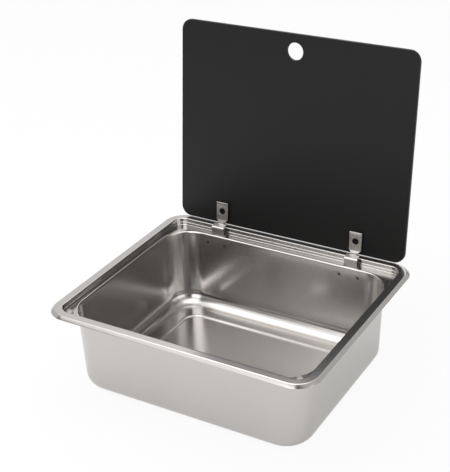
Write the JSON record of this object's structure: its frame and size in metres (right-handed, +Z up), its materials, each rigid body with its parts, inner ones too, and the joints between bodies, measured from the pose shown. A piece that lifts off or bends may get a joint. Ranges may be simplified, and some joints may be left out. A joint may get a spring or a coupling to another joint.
{
  "type": "rv sink with glass lid",
  "caption": "Rectangular drop-in steel sink for a vehicle, with a hinged black glass lid that folds down flush into the rim.",
  "frame": {"origin": "centre of the drain hole in the underside of the bowl floor", "axes": "+X to the right along the hinge line, +Y from the front rim to the hinges, +Z up; the lid stands open on its stop"},
  "size_m": [0.4, 0.3661, 0.4351],
  "materials": {
    "pressed_steel": "satin",
    "seal_foam": "matte",
    "buffer_rubber": "matte",
    "black_glass": "gloss",
    "bracket_steel": "satin",
    "pin_steel": "satin",
    "hinge_steel": "polished",
    "clamp_steel": "polished",
    "screw_black": "satin",
    "pad_rubber": "matte",
    "sleeve_nylon": "matte",
    "nut_steel": "satin"
  },
  "bodies": {
    "sink": {"sink_bowl": "pressed_steel", "rim_seal": "seal_foam", "lid_buffers": "buffer_rubber", "hinge_bracket_left": "bracket_steel", "hinge_pin_left": "pin_steel", "pin_clip_left": "pin_steel", "hinge_bracket_right": "bracket_steel", "hinge_pin_right": "pin_steel", "pin_clip_right": "pin_steel"},
    "lid": {"glass_lid": "black_glass", "hinge_strap_left": "hinge_steel", "clamp_plate_left": "clamp_steel", "clamp_screw_left": "screw_black", "glass_pad_left": "pad_rubber", "glass_sleeve_left": "sleeve_nylon", "outer_washer_left": "pad_rubber", "disc_nut_left": "nut_steel", "hinge_strap_right": "hinge_steel", "clamp_plate_right": "clamp_steel", "clamp_screw_right": "screw_black", "glass_pad_right": "pad_rubber", "glass_sleeve_right": "sleeve_nylon", "outer_washer_right": "pad_rubber", "disc_nut_right": "nut_steel"}
  },
  "joints": [
    {"name": "lid_hinge", "type": "hinge", "parent": "sink", "child": "lid", "pos_m": [0, 0.16418, 0.12364], "axis": [1, 0, 0], "range_deg": [0, 95.5]}
  ]
}
